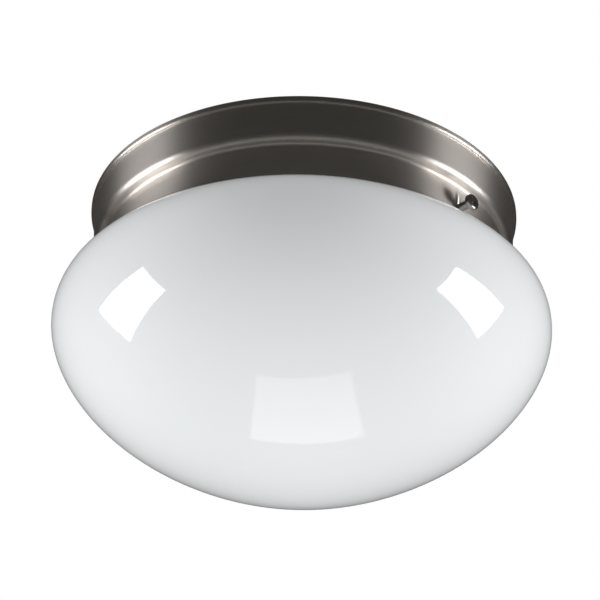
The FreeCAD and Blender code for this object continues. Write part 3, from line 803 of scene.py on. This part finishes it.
def sheet_section(middle: list[Vector], thickness: float) -> list[Vector]:
    """The closed section of a bent sheet.

    Args:
        middle: The middle of the sheet, rising on its outer side.
        thickness: The sheet's thickness.

    Returns:
        The outer side and then the inner side back.
    """
    outer = []
    inner = []
    for before, point, after in zip(middle[:1] + middle, middle, middle[1:] + middle[-1:]):
        along = (after - before).normalized()
        side = Vector((along.z, 0, -along.x)) * (thickness / 2)
        outer.append(point + side)
        inner.append(point - side)
    return outer + inner[::-1]


def joined(parts: list[tuple[bmesh.types.BMesh, Matrix]]) -> bmesh.types.BMesh:
    """Put several meshes into one.

    Args:
        parts: The meshes, which are used up, and where each one goes.

    Returns:
        The one mesh.
    """
    whole = bmesh.new()
    for part, place in parts:
        data = bpy.data.meshes.new("part")
        bmesh.ops.transform(part, matrix=place, verts=part.verts)
        part.to_mesh(data)
        part.free()
        whole.from_mesh(data)
        bpy.data.meshes.remove(data)
    return whole


def drilled(piece: bpy.types.Object, drills: list[bpy.types.Object]) -> None:
    """Cut drills out of a piece.

    Args:
        piece: The piece.
        drills: Closed solids, which are used up.
    """
    for drill in drills:
        cut = piece.modifiers.new(drill.name, "BOOLEAN")
        cut.operation = "DIFFERENCE"
        cut.solver = "EXACT"
        cut.object = drill
    bpy.context.view_layer.update()
    result = piece.evaluated_get(bpy.context.evaluated_depsgraph_get())
    cut_mesh = bpy.data.meshes.new_from_object(result)
    piece.modifiers.clear()
    piece.data = cut_mesh
    for drill in drills:
        bpy.data.objects.remove(drill)


# The light


@dataclass
class Globe:
    """The opal glass: bowl, shoulder, neck and rolled lip.

    The bowl's points are on its outside, from the bottom up, each with its radius and its depth.
    """

    wall: float = 3.0 * MM
    shoulder_end: float = 39.05 * MM
    shoulder_slope: float = math.radians(20.3)
    neck_radius: float = 92.6 * MM
    neck_fillet: float = 2.5 * MM
    lip_radius: float = 94.9 * MM
    lip_top: float = 22.0 * MM
    lip_height: float = 3.5 * MM
    lip_rounding: float = 1.4 * MM
    mouth_rounding: float = 1.0 * MM
    faces_round: int = 256
    pieces_between: int = 9
    fillet_pieces: int = 6
    lip_pieces: int = 4
    mouth_pieces: int = 3
    bowl: ClassVar[tuple[tuple[float, float], ...]] = (
        (0.0 * MM, 142.8 * MM),
        (40.0 * MM, 137.5 * MM),
        (75.0 * MM, 122.4 * MM),
        (99.6 * MM, 104.3 * MM),
        (113.8 * MM, 87.3 * MM),
        (120.65 * MM, 66.5 * MM),
        (117.8 * MM, 55.1 * MM),
        (109.6 * MM, 46.5 * MM),
    )

    def bowl_points(self) -> np.ndarray:
        """Points on the outside, from the bottom to the top of the shoulder.

        Returns:
            The points, one a row.
        """
        end_radius = self.neck_radius + self.neck_fillet * (1 - math.sin(self.shoulder_slope))
        points = [(radius, 0, -depth) for radius, depth in self.bowl]
        points.append((end_radius, 0, -self.shoulder_end))
        return np.array(points)

    def walls(self) -> tuple[list[Vector], list[Vector]]:
        """The outside and the inside of the bowl, from the bottom to the neck's fillet.

        Returns:
            The two runs of points.
        """
        points = self.bowl_points()
        bottom_slope = np.array([1.0, 0, 0])
        top_slope = np.array([-math.cos(self.shoulder_slope), 0, math.sin(self.shoulder_slope)])
        slopes = spline_slopes(points, bottom_slope, top_slope)
        outside = smooth_curve(points, slopes, self.pieces_between)
        unit = slopes / np.linalg.norm(slopes, axis=1)[:, None]
        inward = np.stack([-unit[:, 2], 0 * unit[:, 1], unit[:, 0]], axis=1)
        inner = points + inward * self.wall
        inside = smooth_curve(inner, spline_slopes(inner, bottom_slope, top_slope), self.pieces_between)
        return outside, inside

    def neck(self, end: Vector) -> tuple[list[Vector], list[Vector]]:
        """The fillets under the neck, outside and inside, from the shoulder up to the neck.

        Args:
            end: Where the outside of the shoulder ends.

        Returns:
            The two runs of points.
        """
        slope = self.shoulder_slope
        centre = end + Vector((math.sin(slope), 0, math.cos(slope))) * self.neck_fillet
        start = -math.pi / 2 - slope
        outside = arc(centre, self.neck_fillet, start, -math.pi, self.fillet_pieces)
        inside = arc(centre, self.neck_fillet + self.wall, start, -math.pi, self.fillet_pieces)
        return outside[1:], inside[1:]

    def lip(self) -> list[Vector]:
        """The lip, from the outside of the neck over its rounded edge to the inside.

        Returns:
            Points along the lip.
        """
        quarter = math.pi / 2
        bottom = -self.lip_top - self.lip_height
        edge = self.lip_radius - self.lip_rounding
        mouth = self.neck_radius - self.wall + self.mouth_rounding
        lower = Vector((edge, 0, bottom + self.lip_rounding))
        upper = Vector((edge, 0, -self.lip_top - self.lip_rounding))
        inner = Vector((mouth, 0, -self.lip_top - self.mouth_rounding))
        points = [Vector((self.neck_radius, 0, bottom))]
        points += arc(lower, self.lip_rounding, -quarter, 0, self.lip_pieces)
        points += arc(upper, self.lip_rounding, 0, quarter, self.lip_pieces)
        return points + arc(inner, self.mouth_rounding, quarter, 2 * quarter, self.mouth_pieces)

    def build(self) -> None:
        """Spin the glass and let it ride in place of the model's."""
        outside, inside = self.walls()
        outer_bend, inner_bend = self.neck(outside[-1])
        outline = outside + outer_bend + self.lip() + inner_bend[::-1] + inside[::-1]
        glass = finished(spun(outline, self.faces_round), "opal_globe", OPAL)
        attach(glass, "globe")
        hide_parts("globe")
        log.info("globe: %d faces", len(glass.data.polygons))


@dataclass
class Pan:
    """The stepped pan, spun from one sheet, and its thumbscrews."""

    sheet: float = 0.8 * MM
    lower_radius: float = 98.1 * MM
    lower_end: float = 39.2 * MM
    hem: float = 1.7 * MM
    shelf_depth: float = 21.6 * MM
    upper_radius: float = 103.5 * MM
    flare: float = 1.1 * MM
    rim_radius: float = 106.0 * MM
    rim_depth: float = 3.3 * MM
    rim_turn_in: float = 2.2 * MM
    hem_bend: float = 0.6 * MM
    shelf_inner_bend: float = 1.9 * MM
    shelf_outer_bend: float = 2.7 * MM
    rim_inner_bend: float = 0.5 * MM
    rim_lower_bend: float = 0.7 * MM
    rim_upper_bend: float = 0.6 * MM
    bend_pieces: int = 7
    faces_round: int = 288
    hole_radius: float = 2.1 * MM
    hole_faces: int = 32
    drill_length: float = 3.2 * MM
    collar_radius: float = 2.95 * MM
    collar_reach: float = 2.2 * MM
    collar_foot: float = 0.5 * MM
    collar_seat: float = 0.48 * MM
    first_angle: float = math.radians(-43.1)
    angle_step: float = math.radians(116.8)
    screws: int = 3

    def middle_line(self) -> list[Vector]:
        """The middle of the sheet, from the turned-in lower edge up to the turned-in rim.

        Returns:
            Points along the middle.
        """
        half = self.sheet / 2
        lower = self.lower_radius - half
        upper = self.upper_radius - half
        rim = self.rim_radius - half
        bottom = half - self.lower_end
        shelf = half - self.shelf_depth
        ledge = half - self.rim_depth
        corners = [
            (lower - self.hem, bottom, 0.0),
            (lower, bottom, self.hem_bend),
            (lower, shelf, self.shelf_inner_bend),
            (upper, shelf, self.shelf_outer_bend),
            (upper + self.flare, ledge, self.rim_inner_bend),
            (rim, ledge, self.rim_lower_bend),
            (rim, -half, self.rim_upper_bend),
            (rim - self.rim_turn_in, -half, 0.0),
        ]
        return bent(corners, self.bend_pieces)

    def numbers(self) -> range:
        """The numbers of the screws, from 1."""
        return range(1, self.screws + 1)

    def screw_place(self, number: int) -> Matrix:
        """Where a screw goes through the pan.

        Args:
            number: The screw's number, from 1.

        Returns:
            A place on the lower band with Z pointing outwards.
        """
        low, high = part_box(f"thumbscrew_{number}")
        angle = self.first_angle + (number - 1) * self.angle_step
        height = (low[2] + high[2]) / 2
        lift = Matrix.Translation((0, 0, height)) @ Matrix.Rotation(angle, 4, "Z")
        return lift @ Matrix.Translation((self.lower_radius, 0, 0)) @ Matrix.Rotation(math.pi / 2, 4, "Y")

    def collars(self) -> bmesh.types.BMesh:
        """The drawn collars that the screws are threaded through, inside the lower band.

        Returns:
            The collars in one mesh.
        """
        seat = -self.collar_seat
        end = seat - self.collar_reach
        section = [
            Vector((self.hole_radius, 0, seat)),
            Vector((self.collar_radius + self.collar_foot, 0, seat)),
            Vector((self.collar_radius, 0, seat - self.collar_foot)),
            Vector((self.collar_radius, 0, end)),
            Vector((self.hole_radius, 0, end)),
        ]
        places = [self.screw_place(number) for number in self.numbers()]
        return joined([(spun(section, self.hole_faces, closed=True), place) for place in places])

    def drill(self, number: int) -> bpy.types.Object:
        """The solid that cuts the hole for a screw.

        Args:
            number: The screw's number, from 1.

        Returns:
            A short rod through the lower band.
        """
        mesh = bmesh.new()
        bmesh.ops.create_cone(
            mesh,
            cap_ends=True,
            segments=self.hole_faces,
            radius1=self.hole_radius,
            radius2=self.hole_radius,
            depth=self.drill_length,
            matrix=self.screw_place(number),
        )
        return finished(mesh, f"drill_{number}", NICKEL)

    def build(self) -> None:
        """Spin the pan, drill it for the screws and let it ride in place of the model's."""
        section = sheet_section(self.middle_line(), self.sheet)
        pan = finished(spun(section, self.faces_round, closed=True), "pan", NICKEL)
        drilled(pan, [self.drill(number) for number in self.numbers()])
        collars = finished(self.collars(), "screw_collars", NICKEL)
        for piece in (pan, collars):
            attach(piece, "canopy")
        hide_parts("canopy_shell")
        for number in self.numbers():
            SCREW_NICKEL.dress(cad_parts[f"thumbscrew_{number}"])
        log.info("pan: %d faces, and %d thumbscrews", len(pan.data.polygons), self.screws)


@dataclass
class Padding:
    """The ring of loose glass fibre that lies on the plate, over the lampholders."""

    inner_radius: float = 62.6 * MM
    outer_radius: float = 100.1 * MM
    top: float = 7.6 * MM
    bottom: float = 19.9 * MM
    foot_rounding: float = 1.2 * MM
    crown_rounding: float = 4.2 * MM
    tuft_depth: float = 0.55 * MM
    tuft_rate: float = 140.0
    tuft_increment: float = 0.8
    tuft_lacunarity: float = 2.1
    tuft_octaves: int = 4
    bend_pieces: int = 5
    faces_round: int = 240
    faces_across: int = 14

    def section(self) -> list[Vector]:
        """The closed section of the ring, its crown well rounded.

        Returns:
            Points round the section, from the middle of its foot.
        """
        middle = (self.inner_radius + self.outer_radius) / 2
        corners = [
            (middle, -self.bottom, 0.0),
            (self.outer_radius, -self.bottom, self.foot_rounding),
            (self.outer_radius, -self.top, self.crown_rounding),
            (self.inner_radius, -self.top, self.crown_rounding),
            (self.inner_radius, -self.bottom, self.foot_rounding),
            (middle, -self.bottom, 0.0),
        ]
        return bent(corners, self.bend_pieces)[:-1]

    def ruffle(self, mesh: bmesh.types.BMesh) -> None:
        """Push tufts and hollows into the surface, except where it lies on the plate.

        Args:
            mesh: The ring.
        """
        mesh.normal_update()
        places = [(vert, vert.normal.copy()) for vert in mesh.verts]
        for vert, normal in places:
            place = vert.co * self.tuft_rate
            tuft = noise.fractal(place, self.tuft_increment, self.tuft_lacunarity, self.tuft_octaves)
            free = min(1.0, (vert.co.z + self.bottom) / self.foot_rounding)
            vert.co += normal * (self.tuft_depth * max(-1.0, min(1.0, tuft)) * free)

    def build(self) -> None:
        """Make the ring and let it ride in place of the model's plain one."""
        mesh = spun(self.section(), self.faces_round, closed=True)
        flats = [edge for edge in mesh.edges if edge.calc_length() > self.crown_rounding]
        bmesh.ops.subdivide_edges(mesh, edges=flats, cuts=self.faces_across, use_grid_fill=True)
        self.ruffle(mesh)
        ring = finished(mesh, "fibre_ring", FIBRE)
        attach(ring, "canopy")
        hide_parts("insulation_pad")
        log.info("fibre ring: %d faces", len(ring.data.polygons))


@dataclass
class Inside:
    """Everything between the ceiling and the glass: plate, bar, wiring, holders and bulbs."""

    finishes: ClassVar[dict[str, Finish]] = {
        "socket_plate": ENAMEL,
        "crossbar": ZINC,
        "mounting_screws": ZINC,
        "bracket_rivets": ZINC,
        "lampholder_screws": ZINC,
        "lampholder_bracket_1": ZINC,
        "lampholder_bracket_2": ZINC,
        "bar_ground_screw": GREEN,
        "plate_ground_screw": GREEN,
        "ground_wire": COPPER,
        "wire_bushing": NYLON,
        "black_lead_1": BLACK_PVC,
        "black_lead_2": BLACK_PVC,
        "white_lead_1": WHITE_PVC,
        "white_lead_2": WHITE_PVC,
        "black_wire_connector": ORANGE,
        "white_wire_connector": ORANGE,
        "lampholder_body_1": PORCELAIN,
        "lampholder_body_2": PORCELAIN,
        "screw_shell_1": BRASS,
        "screw_shell_2": BRASS,
        "centre_contact_1": BRASS,
        "centre_contact_2": BRASS,
        "bulb_glass_1": BULB,
        "bulb_glass_2": BULB,
        "bulb_cap_1": ALUMINIUM,
        "bulb_cap_2": ALUMINIUM,
        "bulb_insulator_1": INSULATOR,
        "bulb_insulator_2": INSULATOR,
        "bulb_contact_1": SOLDER,
        "bulb_contact_2": SOLDER,
    }

    def build(self) -> None:
        """Dress each node."""
        for node, finish in self.finishes.items():
            finish.dress(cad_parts[node])
            log.info("%s: %s", node, finish.name)


# Studio


@dataclass(frozen=True)
class Softbox:
    """A soft light with a flat front."""

    name: str
    centre: Place
    facing: Place
    side: Place
    width: float
    height: float
    radiance: float
    mirrored: bool = True

    def build(self) -> None:
        """Hang the light, its width along side and its front along facing."""
        lamp = bpy.data.lights.new(self.name, "AREA")
        lamp.shape = "RECTANGLE"
        lamp.size = self.width
        lamp.size_y = self.height
        lamp.energy = self.radiance * math.pi * self.width * self.height
        back = -Vector(self.facing).normalized()
        across = Vector(self.side)
        across = (across - back * across.dot(back)).normalized()
        turn = Matrix((across, back.cross(across), back)).transposed().to_4x4()
        holder = bpy.data.objects.new(self.name, lamp)
        holder.matrix_world = Matrix.Translation(self.centre) @ turn
        holder.visible_camera = False
        holder.visible_glossy = self.mirrored
        bpy.context.scene.collection.objects.link(holder)


LEFT_SOFTBOX = Softbox(
    "left_softbox",
    centre=(-1.374, -0.044, -0.673),
    facing=(0.92, 0.0, 0.39),
    side=(-0.02, 0.82, 0.06),
    width=0.82,
    height=0.53,
    radiance=10.0,
)
RIGHT_SOFTBOX = Softbox(
    "right_softbox",
    centre=(1.394, -0.136, -0.62),
    facing=(-0.92, 0.09, 0.38),
    side=(0.08, 0.83, 0.08),
    width=0.84,
    height=0.52,
    radiance=10.0,
)
LOW_SOFTBOX = Softbox(
    "low_softbox",
    centre=(0.035, 0.388, -1.152),
    facing=(-0.04, -0.33, 0.94),
    side=(0.64, -0.03, 0.01),
    width=0.65,
    height=0.70,
    radiance=1.5,
)
FRONT_FILL = Softbox(
    "front_fill",
    centre=(0.0, -1.2, 1.35),
    facing=(0.0, 1.2, -1.4),
    side=(1.0, 0.0, 0.0),
    width=1.6,
    height=0.9,
    radiance=1.8,
    mirrored=False,
)


@dataclass
class Studio:
    """White surroundings, softboxes, a dark cloth that only shiny surfaces see, floor and camera."""

    softboxes: tuple[Softbox, ...] = (LEFT_SOFTBOX, RIGHT_SOFTBOX, LOW_SOFTBOX, FRONT_FILL)
    ambient: float = 0.32
    floor_height: float = -1.6
    floor_radius: float = 9.0
    floor_sides: int = 96
    cloth_reach: float = 3.0
    cloth_floor_height: float = -1.55
    cloth_faces_round: int = 64
    cloth_faces_up: int = 12
    camera_distance: float = 1.0
    camera_angle: float = math.radians(30.06)
    aim_height: float = -67.8 * MM
    focal_pixels: float = 2065.4
    picture_pixels: int = 600
    sensor: float = 36.0
    image_point: tuple[float, float] = (301.32, 339.66)
    roll: float = math.radians(1.174)

    def build_world(self) -> None:
        """White where the camera and shiny surfaces look, and a soft grey light on the rest."""
        world = bpy.data.worlds.new("studio")
        bpy.context.scene.world = world
        world.use_nodes = True
        tree = world.node_tree
        background = tree.nodes["Background"]
        rays = tree.nodes.new("ShaderNodeLightPath")
        level = tree.nodes.new("ShaderNodeMapRange")
        tree.links.new(rays.outputs["Is Diffuse Ray"], level.inputs["Value"])
        level.inputs["To Min"].default_value = 1.0
        level.inputs["To Max"].default_value = self.ambient
        background.inputs["Color"].default_value = (*WHITE, 1.0)
        tree.links.new(level.outputs[0], background.inputs["Strength"])
        world.cycles.sampling_method = "NONE"

    def build_floor(self) -> None:
        """A pale round floor far below."""
        mesh = bmesh.new()
        bmesh.ops.create_circle(mesh, cap_ends=True, segments=self.floor_sides, radius=self.floor_radius)
        bmesh.ops.translate(mesh, verts=mesh.verts, vec=(0, 0, self.floor_height))
        floor = finished(mesh, "floor", FLOOR, smooth=False)

    def build_cloth(self) -> None:
        """A dark cloth all round the light, seen only in shiny surfaces."""
        low = math.asin(self.cloth_floor_height / self.cloth_reach)
        outline = [Vector((0, 0, self.cloth_floor_height))]
        outline += arc(Vector((0, 0, 0)), self.cloth_reach, low, math.pi / 2, self.cloth_faces_up)
        cloth = finished(spun(outline, self.cloth_faces_round), "dark_cloth", CLOTH)
        cloth.visible_camera = False
        cloth.visible_diffuse = False
        cloth.visible_transmission = False
        cloth.visible_shadow = False

    def build_camera(self) -> None:
        """Below and in front of the light, looking up at it."""
        camera = bpy.data.cameras.new("camera")
        camera.sensor_width = self.sensor
        camera.lens = self.focal_pixels * self.sensor / self.picture_pixels
        holder = bpy.data.objects.new("camera", camera)
        target = Vector((0, 0, self.aim_height))
        back = Vector((0, -math.cos(self.camera_angle), -math.sin(self.camera_angle)))
        right = Vector((1, 0, 0))
        turn = Matrix((right, back.cross(right), back)).transposed() @ Matrix.Rotation(self.roll, 3, "Z")
        middle = self.picture_pixels / 2
        off_x = (self.image_point[0] - middle) / self.focal_pixels
        off_y = (middle - self.image_point[1]) / self.focal_pixels
        turn = turn @ Matrix.Rotation(math.atan(off_x), 3, "Y") @ Matrix.Rotation(-math.atan(off_y), 3, "X")
        holder.matrix_world = Matrix.Translation(target + back * self.camera_distance) @ turn.to_4x4()
        bpy.context.scene.collection.objects.link(holder)
        bpy.context.scene.camera = holder

    def build(self) -> None:
        """Set the studio up."""
        self.build_world()
        self.build_floor()
        self.build_cloth()
        for softbox in self.softboxes:
            softbox.build()
        self.build_camera()
        bpy.context.scene.view_settings.view_transform = "Standard"


def main() -> None:
    """Build and dress the light from the outside in, then the studio."""
    logging.basicConfig(level=logging.INFO, format="%(message)s")
    for part in (Pan(), Globe(), Padding(), Inside(), Studio()):
        part.build()


if __name__ == "__main__":
    main()
